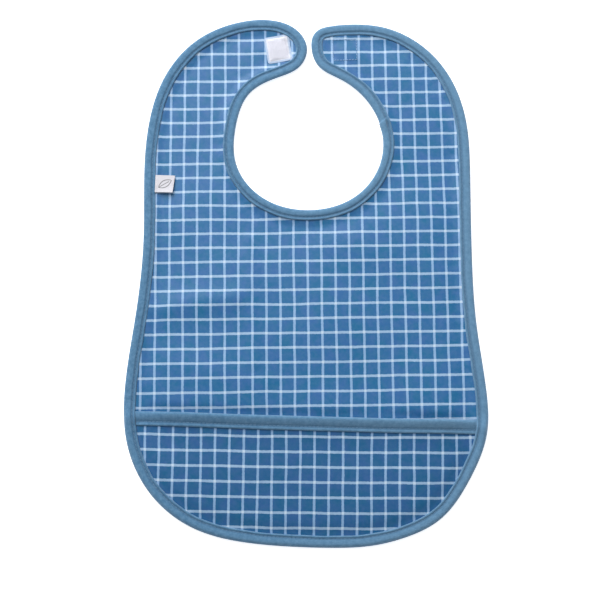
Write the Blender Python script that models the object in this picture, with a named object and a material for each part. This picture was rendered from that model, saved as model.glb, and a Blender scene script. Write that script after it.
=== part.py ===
"""Baby bib of coated cotton, lying flat with its printed face up.

A printed, coated front panel lies on a soft lining. One folded tape binds the whole
edge: round the outside, over both strap tips and round the neck. A crumb-catcher pocket
with its own bound rim crosses the bottom. A hook patch on the front of one strap closes
on a loop patch on the back of the other.

Everything is in metres. +X is to the wearer's left, +Y runs from the pocket to the neck
straps and +Z is up, out of the printed face. The origin is under the middle of the bib.

The fabric pieces are divided along the four fold lines on which the straps lift, and all
four lines run through the middle of the neck opening.
"""

import math

import bmesh
import bpy
import numpy as np

MM = 0.001

# The edge of the bib in millimetres, anticlockwise from the middle of the bottom.
OUTLINE_MM = (
    (20, -187.7), (44, -186.4), (66, -181.3), (91, -169), (112, -142), (125, -109),
    (125, -81), (119, -33), (117, 10), (117, 72), (114, 117), (102, 148), (82, 170),
    (56, 182), (30, 185), (10, 181), (4, 169), (10, 153), (26, 142.5), (44, 127),
    (54, 106), (53, 81), (36, 57.5), (2, 47), (-32, 57), (-49, 79), (-50, 108),
    (-40, 133), (-20, 144.5), (-4, 153), (1, 167), (-6, 180), (-24, 187.5),
    (-46, 186.5), (-78, 173), (-101, 146), (-112, 112), (-115, 70), (-114.5, 30),
    (-119, -28), (-125.5, -80), (-123, -118), (-106, -152), (-78, -174), (-42, -184),
    (-10, -186.9),
)
SAMPLES_PER_SPAN = 40
NECK_CENTRE = np.array((2.0, 99.0)) * MM

# Fold lines: the directions, in degrees, in which they leave the middle of the neck.
FOLD_AZIMUTHS = {"shoulder_right": -42.0, "tab_right": 23.0, "tab_left": 155.0, "shoulder_left": 221.0}
FOLD_GAP = 0.3 * MM

# Thicknesses and the clearance that keeps the stacked layers apart.
LAYER_GAP = 0.25 * MM
TAPE_LEG = 0.7 * MM
LINING = 0.6 * MM
COTTON = 0.35 * MM

# Binding tape: its folded width, and the groove that its stitches pull into it.
TAPE_WIDTH = 7.9 * MM
NECK_TAPE_WIDTH = 7.2 * MM
TAPE_CORNER = 1.0 * MM
TAPE_LIP = 0.3 * MM
SEAM_INSET = 2.2 * MM
GROOVE_HALF_WIDTH = 0.6 * MM
GROOVE_DEPTH = 0.45 * MM
THREAD_RADIUS = 0.15 * MM
THREAD_LIFT = 0.02 * MM
THREAD_FOLD_GAP = 1.6 * MM

# Heights of the layers, from the table up.
LINING_BOTTOM = TAPE_LEG + LAYER_GAP
FRONT_BOTTOM = LINING_BOTTOM + LINING + LAYER_GAP
FRONT_TOP = FRONT_BOTTOM + COTTON
TAPE_TOP = 3.7 * MM
PANEL_INSET = TAPE_CORNER + 0.3 * MM

# Pocket and its rim tape.
RIM_MIDDLE = np.array((0.0, -98.95)) * MM
RIM_SLOPE = math.radians(-1.5)
RIM_WIDTH = 9.9 * MM
RIM_LEG = 0.45 * MM
RIM_GAP = 0.2 * MM
POCKET_BOTTOM = FRONT_TOP + LAYER_GAP + RIM_LEG + RIM_GAP
POCKET_SIDE_GAP = 0.3 * MM
RIM_SEAM_INSET = 2.9 * MM

# Hook and loop patches: middle, size and turn.
HOOK_MIDDLE = np.array((-21.4, 165.5)) * MM
HOOK_SIZE = np.array((17.0, 18.4)) * MM
HOOK_TURN = math.radians(10.5)
HOOK_THICKNESS = 1.0 * MM
LOOP_MIDDLE = np.array((28.2, 165.0)) * MM
LOOP_SIZE = np.array((19.4, 17.8)) * MM
LOOP_TURN = math.radians(2.0)
LOOP_BOTTOM = 0.4 * MM
LOOP_TOP = 0.75 * MM
PATCH_SEAM_INSET = 1.2 * MM

# Folded label, caught under the binding at the left side.
LABEL_MIDDLE_Y = 64.8 * MM
LABEL_WIDTH = 12.6 * MM
LABEL_SEAM_X = -110.5 * MM
LABEL_FREE_X = -92.4 * MM
LABEL_LEAF = 0.15 * MM
LABEL_FOLD_STEPS = 5

# One station along an edge for this much length plus this much turning.
STATION_LENGTH = 45.0 * MM
STATION_TURN = math.radians(11.0)

RUNS = ("shoulder_right_outer", "tab_right", "shoulder_right_neck", "chest_neck",
        "shoulder_left_neck", "tab_left", "shoulder_left_outer", "chest_outer")
# Whether each fold line, in the same order, is met on the bib's outer edge.
MET_OUTSIDE = (True, True, False, False, False, False, True, True)
PANEL_RUNS = {
    "chest": ("chest_outer", "chest_neck"),
    "shoulder_right": ("shoulder_right_outer", "shoulder_right_neck"),
    "tab_right": ("tab_right",),
    "shoulder_left": ("shoulder_left_outer", "shoulder_left_neck"),
    "tab_left": ("tab_left",),
}


def clear_scene():
    for item in list(bpy.data.objects):
        bpy.data.objects.remove(item, do_unlink=True)


def smooth_loop(points):
    """Closed curve of continuous curvature through the points, with its directions."""
    knots = np.array(points, dtype=float) * MM
    count = len(knots)
    after = np.roll(knots, -1, axis=0)
    span = np.linalg.norm(after - knots, axis=1)
    slope = (after - knots) / span[:, None]
    matrix = np.zeros((count, count))
    right_side = np.zeros((count, 2))
    for i in range(count):
        matrix[i, i - 1] += 1 / span[i - 1]
        matrix[i, i] += 2 / span[i - 1] + 2 / span[i]
        matrix[i, (i + 1) % count] += 1 / span[i]
        right_side[i] = 3 * (slope[i - 1] / span[i - 1] + slope[i] / span[i])
    tangent = np.linalg.solve(matrix, right_side)
    places, directions = [], []
    for i in range(count):
        j = (i + 1) % count
        start, end = tangent[i] * span[i], tangent[j] * span[i]
        for u in np.arange(SAMPLES_PER_SPAN) / SAMPLES_PER_SPAN:
            places.append((2 * u**3 - 3 * u**2 + 1) * knots[i] + (u**3 - 2 * u**2 + u) * start
                          + (3 * u**2 - 2 * u**3) * knots[j] + (u**3 - u**2) * end)
            directions.append(6 * (u**2 - u) * (knots[i] - knots[j])
                              + (3 * u**2 - 4 * u + 1) * start + (3 * u**2 - 2 * u) * end)
    places = np.array(places)
    directions = np.array(directions)
    return places, directions / np.linalg.norm(directions, axis=1)[:, None]


def smoothstep(value):
    value = np.clip(value, 0.0, 1.0)
    return value * value * (3 - 2 * value)


class Edge:
    """The bib's edge, and the loops that run beside it."""

    def __init__(self):
        places, directions = smooth_loop(OUTLINE_MM)
        places -= (places.min(axis=0) + places.max(axis=0)) / 2
        self.places = places
        self.inward = np.column_stack((-directions[:, 1], directions[:, 0]))
        from_neck = np.linalg.norm(places - NECK_CENTRE, axis=1)
        outside = smoothstep((from_neck - 58 * MM) / (20 * MM))
        self.tape_width = NECK_TAPE_WIDTH + (TAPE_WIDTH - NECK_TAPE_WIDTH) * outside
        heading = np.unwrap(np.arctan2(directions[:, 1], directions[:, 0]))
        length = np.linalg.norm(np.diff(places, axis=0), axis=1)
        effort = length / STATION_LENGTH + np.abs(np.diff(heading)) / STATION_TURN
        self.effort = np.concatenate(((0.0,), np.cumsum(effort)))
        self.count = len(places)

    def loop(self, inset):
        """The loop that lies inset metres inside the edge."""
        return self.places + self.inward * np.reshape(inset, (-1, 1))

    def crossings(self, loop, aside):
        """Fractional sample numbers where the loop meets the fold lines moved aside."""
        found = []
        for azimuth in FOLD_AZIMUTHS.values():
            ray = np.array((math.cos(math.radians(azimuth)), math.sin(math.radians(azimuth))))
            offset = loop - NECK_CENTRE
            along = offset @ ray
            level = ray[0] * offset[:, 1] - ray[1] * offset[:, 0] - aside
            hits = np.nonzero((level[:-1] * level[1:] < 0) & (along[:-1] > 0))[0]
            found.extend(hits + level[hits] / (level[hits] - level[hits + 1]))
        return sorted(found)

    def ends(self, loop, run, gap):
        """Where a run starts and ends on the loop, half a gap clear of its fold lines."""
        number = RUNS.index(run)
        following = (number + 1) % len(RUNS)
        start = self.crossings(loop, gap / 2 if MET_OUTSIDE[number] else -gap / 2)[number]
        end = self.crossings(loop, -gap / 2 if MET_OUTSIDE[following] else gap / 2)[following]
        return start, end + (self.count if end < start else 0)

    def effort_at(self, sample):
        turns, rest = divmod(sample, self.count)
        whole = self.effort[-1] + self.effort[1]
        return turns * whole + np.interp(rest, np.arange(self.count), self.effort)

    def spread(self, loop, start, end, steps):
        """Points on the loop from start to end, closer together where it turns."""
        twice = np.vstack((loop, loop, loop[:1]))
        whole = self.effort[-1] + self.effort[1]
        effort = np.concatenate((self.effort, self.effort + whole, (2 * whole,)))
        marks = np.linspace(self.effort_at(start), self.effort_at(end), steps + 1)
        samples = np.interp(marks, effort, np.arange(len(effort)))
        return np.column_stack([np.interp(samples, np.arange(len(twice)), twice[:, axis])
                                for axis in (0, 1)])

    def path(self, run, inset, gap=FOLD_GAP):
        """Stations of one run along the loop at the given inset."""
        start, end = self.ends(self.places, run, gap)
        steps = math.ceil(self.effort_at(end) - self.effort_at(start))
        loop = self.loop(inset)
        return self.spread(loop, *self.ends(loop, run, gap), steps)


def material(name, color, roughness):
    finish = bpy.data.materials.new(name)
    finish.use_nodes = True
    finish.diffuse_color = (*color, 1.0)
    shader = finish.node_tree.nodes["Principled BSDF"]
    shader.inputs["Base Color"].default_value = (*color, 1.0)
    shader.inputs["Roughness"].default_value = roughness
    shader.inputs["Metallic"].default_value = 0.0
    return finish


def make_materials():
    return {
        "printed_coated_cotton": material("printed_coated_cotton", (0.10, 0.22, 0.46), 0.35),
        "lining_cotton": material("lining_cotton", (0.29, 0.36, 0.44), 0.9),
        "binding_tape": material("binding_tape", (0.09, 0.22, 0.37), 0.8),
        "thread": material("thread", (0.13, 0.27, 0.43), 0.6),
        "hook_and_loop": material("hook_and_loop", (0.86, 0.87, 0.88), 0.7),
        "label_tape": material("label_tape", (0.88, 0.88, 0.86), 0.6),
    }


def make_pivots():
    """One empty on each joint axis, and the middle of each axis."""
    places = {}
    for name, azimuth in FOLD_AZIMUTHS.items():
        reach = 82 * MM
        places[name] = np.array((NECK_CENTRE[0] + reach * math.cos(math.radians(azimuth)),
                                 NECK_CENTRE[1] + reach * math.sin(math.radians(azimuth)),
                                 TAPE_TOP))
    places["pocket"] = np.array((0.0, pocket_axis_y(), POCKET_BOTTOM))
    parents = {"tab_right": "shoulder_right", "tab_left": "shoulder_left"}
    pivots = {}
    for name in ("shoulder_right", "shoulder_left", "tab_right", "tab_left", "pocket"):
        pivot = bpy.data.objects.new(f"pivot_{name}", None)
        pivot.empty_display_size = 0.02
        pivot.location = places[name]
        if name in parents:
            pivot.parent = pivots[parents[name]]
            pivot.location = places[name] - places[parents[name]]
        bpy.context.collection.objects.link(pivot)
        pivots[name] = pivot
    return pivots, places


class Builder:
    """Makes named objects and hangs each one on the pivot of its body."""

    def __init__(self):
        self.materials = make_materials()
        self.pivots, self.places = make_pivots()

    def add(self, name, mesh_data, finish, body, smooth_angle=None):
        bmesh.ops.recalc_face_normals(mesh_data, faces=mesh_data.faces)
        mesh = bpy.data.meshes.new(name)
        mesh_data.to_mesh(mesh)
        mesh_data.free()
        if smooth_angle is not None:
            mesh.shade_smooth()
            mesh.set_sharp_from_angle(angle=math.radians(smooth_angle))
        mesh.materials.append(self.materials[finish])
        item = bpy.data.objects.new(name, mesh)
        if body in self.pivots:
            item.parent = self.pivots[body]
            item.location = -self.places[body]
        bpy.context.collection.objects.link(item)
        return item


def slab(outline, bottom, top):
    """Flat plate with the given outline."""
    shape = bmesh.new()
    corners = [shape.verts.new((x, y, bottom)) for x, y in outline]
    face = shape.faces.new(corners)
    lifted = bmesh.ops.extrude_face_region(shape, geom=[face])["geom"]
    moved = [part for part in lifted if isinstance(part, bmesh.types.BMVert)]
    bmesh.ops.translate(shape, verts=moved, vec=(0, 0, top - bottom))
    return shape


def skin_rings(rings, closed):
    """Solid through matching rings of points: capped at both ends, or closed on itself."""
    shape = bmesh.new()
    rows = [[shape.verts.new(point) for point in ring] for ring in rings]
    pairs = list(zip(rows, rows[1:]))
    if closed:
        pairs.append((rows[-1], rows[0]))
    for here, there in pairs:
        for k in range(len(here)):
            j = (k + 1) % len(here)
            shape.faces.new((here[k], here[j], there[j], there[k]))
    if not closed:
        shape.faces.new(rows[0])
        shape.faces.new(rows[-1])
    return shape


def tape_profile():
    """Folded tape across its width: share of the width, further inset, height."""
    groove = SEAM_INSET + GROOVE_HALF_WIDTH
    lip = SEAM_INSET - GROOVE_HALF_WIDTH
    lower = [
        (0, 0.0, TAPE_CORNER), (0, TAPE_CORNER, 0.0), (1, -groove, 0.0),
        (1, -SEAM_INSET, GROOVE_DEPTH), (1, -lip, 0.0), (1, 0.0, TAPE_LIP),
        (1, 0.0, TAPE_LEG), (0, TAPE_CORNER, TAPE_LEG),
    ]
    upper = [(share, inset, TAPE_TOP - height) for share, inset, height in reversed(lower)]
    return lower + upper


def add_binding(build, edge, run, body):
    paths = []
    for share, inset, height in tape_profile():
        path = edge.path(run, share * edge.tape_width + inset)
        paths.append(np.column_stack((path, np.full(len(path), height))))
    rings = [[path[i] for path in paths] for i in range(len(paths[0]))]
    build.add(f"binding_{run}", skin_rings(rings, closed=False), "binding_tape", body, 50)


def add_seam_threads(build, edge, run, body):
    """Needle thread in the groove on top and bobbin thread in the groove underneath."""
    low = THREAD_LIFT + THREAD_RADIUS
    for name, height in (("needle", TAPE_TOP - low), ("bobbin", low)):
        paths = []
        for sideways, rise in ((1, 0), (0, 1), (-1, 0), (0, -1)):
            inset = edge.tape_width - SEAM_INSET + sideways * THREAD_RADIUS
            path = edge.path(run, inset, THREAD_FOLD_GAP)
            paths.append(np.column_stack((path, np.full(len(path), height + rise * THREAD_RADIUS))))
        rings = [[path[i] for path in paths] for i in range(len(paths[0]))]
        build.add(f"{name}_thread_{run}", skin_rings(rings, closed=False), "thread", body, 100)


def add_panels(build, edge, panel):
    outline = np.vstack([edge.path(run, PANEL_INSET) for run in PANEL_RUNS[panel]])
    build.add(f"lining_{panel}", slab(outline, LINING_BOTTOM, LINING_BOTTOM + LINING),
              "lining_cotton", panel)
    build.add(f"front_panel_{panel}", slab(outline, FRONT_BOTTOM, FRONT_TOP),
              "printed_coated_cotton", panel)


def rim_line(points):
    """Height of points above the line of the pocket's top edge."""
    offset = points - RIM_MIDDLE
    return offset[:, 1] - offset[:, 0] * math.tan(RIM_SLOPE)


def pocket_outline():
    """The pocket inside the binding, from its right top corner round to its left."""
    edge = Edge()
    loop = edge.loop(edge.tape_width + POCKET_SIDE_GAP)
    below = rim_line(loop) + RIM_GAP + RIM_LEG
    hits = np.nonzero(below[:-1] * below[1:] < 0)[0]
    right, left = hits + below[hits] / (below[hits] - below[hits + 1])
    steps = math.ceil(edge.effort_at(right + edge.count) - edge.effort_at(left))
    return edge.spread(loop, left, right + edge.count, steps)


def pocket_axis_y():
    return float(pocket_outline()[:, 1].min())


def add_pocket(build):
    outline = pocket_outline()
    build.add("pocket_panel", slab(outline, POCKET_BOTTOM, POCKET_BOTTOM + COTTON),
              "printed_coated_cotton", "pocket")
    left, right = outline[0, 0] + POCKET_SIDE_GAP, outline[-1, 0] - POCKET_SIDE_GAP
    add_rim(build, left, right)


def along_rim(across, height, ends):
    """Rings of points across the rim at its two ends; across is measured down from the top."""
    rings = []
    for x in ends:
        top = RIM_MIDDLE[1] + (x - RIM_MIDDLE[0]) * math.tan(RIM_SLOPE)
        rings.append([(x, top - down, z) for down, z in zip(across, height)])
    return rings


def add_rim(build, left, right):
    """Rim tape, folded over the pocket's top edge, with its two threads."""
    low = FRONT_TOP + LAYER_GAP
    high = POCKET_BOTTOM + COTTON + RIM_GAP + RIM_LEG
    groove, lip = RIM_SEAM_INSET + GROOVE_HALF_WIDTH / 2, RIM_SEAM_INSET - GROOVE_HALF_WIDTH / 2
    dip = RIM_LEG / 2
    lower = [(0, RIM_LEG), (RIM_LEG, 0), (RIM_WIDTH - groove, 0), (RIM_WIDTH - RIM_SEAM_INSET, dip),
             (RIM_WIDTH - lip, 0), (RIM_WIDTH, 0), (RIM_WIDTH, RIM_LEG), (RIM_LEG, RIM_LEG)]
    across = [down for down, _ in lower] + [down for down, _ in reversed(lower)]
    height = [low + rise for _, rise in lower] + [high - rise for _, rise in reversed(lower)]
    rings = along_rim(across, height, (left, right))
    build.add("pocket_rim_tape", skin_rings(rings, closed=False), "binding_tape", "pocket", 50)
    seam = RIM_WIDTH - RIM_SEAM_INSET
    half = THREAD_RADIUS / 2
    for name, middle in (("needle", high - half), ("bobbin", low + half)):
        across = (seam + half, seam, seam - half, seam)
        height = (middle, middle + half, middle, middle - half)
        ends = (left + THREAD_FOLD_GAP, right - THREAD_FOLD_GAP)
        shape = skin_rings(along_rim(across, height, ends), closed=False)
        build.add(f"{name}_thread_pocket_rim", shape, "thread", "pocket", 100)


def turned_square(middle, size, turn, grow=0.0):
    """Corners of a patch, or of a square that stands grow metres outside it."""
    corners = []
    for right, up in ((-1, -1), (1, -1), (1, 1), (-1, 1)):
        x, y = right * (size[0] / 2 + grow), up * (size[1] / 2 + grow)
        corners.append((middle[0] + x * math.cos(turn) - y * math.sin(turn),
                        middle[1] + x * math.sin(turn) + y * math.cos(turn)))
    return corners


def square_thread(middle, size, turn, height):
    """One round of thread, sewn square inside a patch's edge."""
    sections = []
    for grow, rise in ((THREAD_RADIUS, 0), (0, THREAD_RADIUS), (-THREAD_RADIUS, 0), (0, -THREAD_RADIUS)):
        corners = turned_square(middle, size, turn, grow - PATCH_SEAM_INSET)
        sections.append([(x, y, height + rise) for x, y in corners])
    return skin_rings([[section[i] for section in sections] for i in range(4)], closed=True)


def add_patches(build):
    hook_bottom = FRONT_TOP + LAYER_GAP
    hook_top = hook_bottom + HOOK_THICKNESS
    clear = THREAD_LIFT + THREAD_RADIUS
    build.add("hook_patch", slab(turned_square(HOOK_MIDDLE, HOOK_SIZE, HOOK_TURN), hook_bottom, hook_top),
              "hook_and_loop", "tab_left")
    build.add("loop_patch", slab(turned_square(LOOP_MIDDLE, LOOP_SIZE, LOOP_TURN), LOOP_BOTTOM, LOOP_TOP),
              "hook_and_loop", "tab_right")
    threads = (
        ("needle_thread_hook_patch", HOOK_MIDDLE, HOOK_SIZE, HOOK_TURN, hook_top + clear, "tab_left"),
        ("bobbin_thread_hook_patch", HOOK_MIDDLE, HOOK_SIZE, HOOK_TURN, LINING_BOTTOM - clear, "tab_left"),
        ("needle_thread_loop_patch", LOOP_MIDDLE, LOOP_SIZE, LOOP_TURN, FRONT_TOP + clear, "tab_right"),
        ("bobbin_thread_loop_patch", LOOP_MIDDLE, LOOP_SIZE, LOOP_TURN, LOOP_BOTTOM - clear, "tab_right"),
    )
    for name, middle, size, turn, height, body in threads:
        build.add(name, square_thread(middle, size, turn, height), "thread", body)


def add_label(build):
    """Tape folded in two, with its fold at the free end and its cut ends in the binding."""
    low = FRONT_TOP + LAYER_GAP
    leaf_gap = 0.05 * MM
    outer, inner = LABEL_LEAF + leaf_gap / 2, leaf_gap / 2
    middle = low + outer
    turns = [math.pi * (k / LABEL_FOLD_STEPS - 0.5) for k in range(LABEL_FOLD_STEPS + 1)]
    bend = LABEL_FREE_X - outer
    profile = [(LABEL_SEAM_X, middle - outer)]
    profile += [(bend + outer * math.cos(turn), middle + outer * math.sin(turn)) for turn in turns]
    profile += [(LABEL_SEAM_X, middle + outer), (LABEL_SEAM_X, middle + inner)]
    profile += [(bend + inner * math.cos(turn), middle + inner * math.sin(turn)) for turn in reversed(turns)]
    profile += [(LABEL_SEAM_X, middle - inner)]
    sides = (LABEL_MIDDLE_Y - LABEL_WIDTH / 2, LABEL_MIDDLE_Y + LABEL_WIDTH / 2)
    rings = [[(x, y, z) for x, z in profile] for y in sides]
    build.add("side_label", skin_rings(rings, closed=False), "label_tape", "shoulder_left", 60)


def body_of(run):
    """The rigid part of the bib that a run of the edge belongs to."""
    return run.removesuffix("_outer").removesuffix("_neck")


def main():
    clear_scene()
    edge = Edge()
    build = Builder()
    for panel in PANEL_RUNS:
        add_panels(build, edge, panel)
    for run in RUNS:
        add_binding(build, edge, run, body_of(run))
        add_seam_threads(build, edge, run, body_of(run))
    add_pocket(build)
    add_patches(build)
    add_label(build)


main()
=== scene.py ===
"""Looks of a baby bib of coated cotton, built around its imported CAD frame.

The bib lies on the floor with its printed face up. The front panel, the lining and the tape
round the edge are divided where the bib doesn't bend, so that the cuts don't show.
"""

import math
from collections import namedtuple

import bpy
import numpy as np
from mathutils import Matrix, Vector, kdtree
from mathutils.geometry import delaunay_2d_cdt


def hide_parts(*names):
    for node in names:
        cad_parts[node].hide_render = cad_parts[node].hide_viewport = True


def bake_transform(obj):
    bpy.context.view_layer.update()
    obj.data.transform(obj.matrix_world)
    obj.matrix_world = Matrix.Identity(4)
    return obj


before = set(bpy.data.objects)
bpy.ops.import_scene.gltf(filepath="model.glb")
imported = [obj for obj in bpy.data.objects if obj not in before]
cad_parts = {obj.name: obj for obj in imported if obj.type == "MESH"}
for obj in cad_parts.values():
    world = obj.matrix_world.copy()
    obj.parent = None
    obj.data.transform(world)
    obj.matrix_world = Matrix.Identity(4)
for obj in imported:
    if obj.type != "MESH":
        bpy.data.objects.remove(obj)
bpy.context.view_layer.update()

MM = 0.001

# The edge of the bib in millimetres, anticlockwise from the middle of the bottom. It follows the
# CAD's, apart from a slightly fuller tip of the right strap.
OUTLINE_MM = (
    (20, -187.7), (44, -186.4), (66, -181.3), (91, -169), (112, -142), (125, -109),
    (125, -81), (119, -33), (117, 10), (117, 72), (114, 117), (102, 148), (82, 170),
    (56, 182.4), (30, 184.3), (15.9, 182.7), (10.4, 181), (5.7, 176.6), (4, 168.8),
    (9.2, 153.1), (26, 142.5), (44, 127),
    (54, 106), (53, 81), (36, 57.5), (2, 47), (-32, 57), (-49, 79), (-50, 108),
    (-40, 133), (-20, 144.5), (-4, 153), (1, 167), (-6, 180), (-24, 187.5),
    (-46, 186.5), (-78, 173), (-101, 146), (-112, 112), (-115, 70), (-114.5, 30),
    (-119, -28), (-125.5, -80), (-123, -118), (-106, -152), (-78, -174), (-42, -184),
    (-10, -186.9),
)
SAMPLES_PER_SPAN = 40

# The middle of the neck opening, through which all fold lines run.
NECK_CENTRE = np.array((2.0, 99.0)) * MM

# Cuts through the cloth: azimuth in degrees, and how far they run from the same middle.
RIGHT_CUT = -9.5
LEFT_CUT = 188.0
CUT_START = 46 * MM
CUTS = ((RIGHT_CUT, 140 * MM), (LEFT_CUT, 140 * MM), (-90.0, 290 * MM))

# Folded tape round the edge, narrower within a distance of the neck's middle.
TAPE_WIDTH = 8.2 * MM
NECK_TAPE_WIDTH = 7.7 * MM
NECK_TAPE_REACH = 58 * MM
NECK_TAPE_BLEND = 20 * MM
TAPE_MIDDLE_Z = 1.85 * MM
TAPE_HALF_HEIGHT = 1.83 * MM
STATION_STEP = 1.5 * MM
LAP_MIDDLE = np.array((53.9, 112.0)) * MM
LAP_REACH = 9 * MM
LAP_THICKNESS = 0.6 * MM
LAP_OVERHANG = 0.45 * MM
LAP_SLANT = 0.35
LAP_NOTCH = 0.7 * MM
LAP_FINE_STATIONS = np.arange(-3.2, 3.3, 0.25) * MM
LAP_FINE_REACH = 3.4 * MM
NECK_RUN_REACH = 70 * MM
LABEL_UNDER_TAPE = 0.4 * MM
RIM_UNDER_TAPE = 0.9 * MM
RIM_BUMP_REACH = 6 * MM
TAPE_RIPPLE = 0.12 * MM
TAPE_PUFF = 0.04

# The lying cloth: mean height, long waves, and the share of both that is left along the edge.
LIE_HEIGHT = 1.1 * MM
LIE_WAVE_HEIGHT = 0.12 * MM
LIE_WAVES_MM = range(52, 172, 7)
LIE_EDGE_SHARE = 0.18
LIE_EDGE_REACH = 30 * MM

# Soft folds of the lying cloth: ends, reach to each side and height, in millimetres.
FOLDS = (
    ((-112, -24), (-50, -16), 6.5, 1.9),
    ((-40, 26), (-36, -62), 3.0, 0.7),
    ((20, 28), (104, -2), 9.0, 0.5),
    ((-98, -62), (-30, -74), 7.0, 0.6),
    ((-108, 52), (-60, 6), 9.0, 0.6),
    ((62, 150), (102, 96), 8.0, 0.6),
)

# Cloth layers. The panel sags from its height at the tape to the table.
CLOTH_INSET = 2.4 * MM
FRONT_TOP_Z = 2.15 * MM
SAG_DEPTH = 1.0 * MM
SAG_REACH = 5 * MM
COTTON = 0.3 * MM
LINING_GAP = 0.15 * MM
LINING = 0.6 * MM
FRONT_SPACING = 2.2 * MM
LINING_SPACING = 4.0 * MM

# Puckers beside the tape: height, wave lengths in millimetres and seed.
FRONT_PUCKERS = (0.16 * MM, (6.1, 7.3, 8.9, 11.2, 14.5), 5)
POCKET_PUCKERS = (0.12 * MM, (6.7, 8.3, 10.9, 13.7), 9)
PUCKER_START = 1.5 * MM
PUCKER_REACH = 7 * MM

# Pocket and its rim tape. The rim rises towards both ends: side, start and length of each rise.
RIM_MIDDLE_Y = -98.95 * MM
RIM_SLOPE = math.tan(math.radians(-1.5))
RIM_END_RISE = 0.65 * MM
RIM_RISES = ((-1, 25 * MM, 75 * MM), (1, 55 * MM, 55 * MM))
RIM_WIDTH = 9.9 * MM
RIM_TOP_HEIGHT = 1.75 * MM
RIM_BOTTOM_HEIGHT = 0.8 * MM
RIM_END_TUCK = 3.4 * MM
RIM_COVERS = 1.2 * MM
POCKET_GAP = 0.25 * MM
POCKET_TUCK = 4.6 * MM

# How far the pocket stands open: height, reach from the tape inwards, and fade below the rim.
MOUTH_BULGE = 3.2 * MM
MOUTH_BULGE_REACH = 45 * MM
MOUTH_BULGE_FADE = 50 * MM
MOUTH_LIFT = 1.8 * MM
MOUTH_LIFT_REACH = 26 * MM
POCKET_FILL = 1.0 * MM
POCKET_FILL_REACH = 9 * MM
POCKET_FILL_START = 40 * MM
MOUTH_DIP = 1.3 * MM
MOUTH_DIP_REACH = 12 * MM
MOUTH_DIP_ABOVE = 7 * MM
FRONT_LOWEST = 1.1 * MM

# Stitches.
STITCH_PITCH = 2.7 * MM
THREAD_RADIUS = 0.2 * MM

# Patches, on the front for side 1 and on the back for side -1. The cloth rises over the loops.
Patch = namedtuple("Patch", "middle size turn side region")
HOOK = Patch(np.array((-19.8, 165.7)) * MM, np.array((18.0, 19.8)) * MM, math.radians(9.5),
             1, "left_strap")
LOOP = Patch(np.array((28.2, 165.0)) * MM, np.array((19.4, 17.8)) * MM, math.radians(2.0),
             -1, "right_strap")
PATCH_THICKNESS = 0.6 * MM
PATCH_CORNER = 1.7 * MM
PATCH_SPACING = 0.8 * MM
PATCH_SEAM_INSET = 1.2 * MM
PATCH_STITCH_PITCH = 2.2 * MM
PATCH_THREAD_RADIUS = 0.27 * MM
LOOP_LIFT = 1.15 * MM
LOOP_LIFT_REACH = 16 * MM

# Label, folded in two. Its ends are under the tape and its fold lifts.
LABEL_MIDDLE_Y = 65.9 * MM
LABEL_WIDTH = 12.6 * MM
LABEL_SEAM_X = -110.5 * MM
LABEL_FREE_X = -93.2 * MM
LABEL_TURN = math.radians(-2.5)
LABEL_LEAF = 0.22 * MM
LABEL_LIFT = 1.5 * MM
LABEL_ROWS = 15

# Print: columns and rows of the grid counted from millimetres of x and y, and in grid steps
# half the width of a line and the blur of its sides.
MAIN_PRINT = ((0.102742, 0.000944, 11.8579), (0.001331, -0.098271, 15.9942))
POCKET_PRINT = ((0.102915, -0.001179, 11.2425), (-0.001064, -0.097487, -11.972))
STRAP_PRINT_CLOSES = (0.0095, 0.015)
POCKET_PRINT_SAGS = 0.5
LINE_HALF = 0.086
LINE_BLUR = 0.018
THREADS_PER_CELL = 2 * math.pi * 20

# Leaf on the label, in millimetres: its middle from the label's seam and from its lower edge,
# its slope, half its length and width, and the bow of its sides.
LEAF_MIDDLE = (10.9, 6.3)
LEAF_TILT = math.radians(32)
LEAF_HALF_LENGTH = 5.27
LEAF_HALF_WIDTH = 2.5
LEAF_BOW = 0.09

# Camera and light. The windows are area lights: place in metres, width, height and power.
VIEW_TARGET = Vector((-4.112, -17.595, 2.0)) * MM
VIEW_DISTANCE = 0.84
VIEW_TILT = math.atan(0.15)
FLOOR_HALF = 9.0
ROOM_LIGHT = 0.33
WINDOWS = (
    ("high_window", (-0.5, 1.22, 1.58), 1.5, 1.2, 29.0),
    ("low_window", (-0.58, 1.8, 0.98), 1.4, 0.9, 30.0),
)


def smoothstep(value):
    """Smooth rise from 0 at 0 to 1 at 1, flat outside."""
    value = np.clip(value, 0.0, 1.0)
    return value * value * (3 - 2 * value)


def unit(vectors):
    """Vectors of length 1."""
    return vectors / np.maximum(np.linalg.norm(vectors, axis=-1, keepdims=True), 1e-12)


def arc_lengths(line):
    """Distances along a polyline from its start."""
    return np.concatenate(((0.0,), np.cumsum(np.linalg.norm(np.diff(line, axis=0), axis=1))))


def interpolated(at, places, values):
    """Rows of values between the places where they are given."""
    return np.column_stack([np.interp(at, places, column) for column in values.T])


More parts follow.
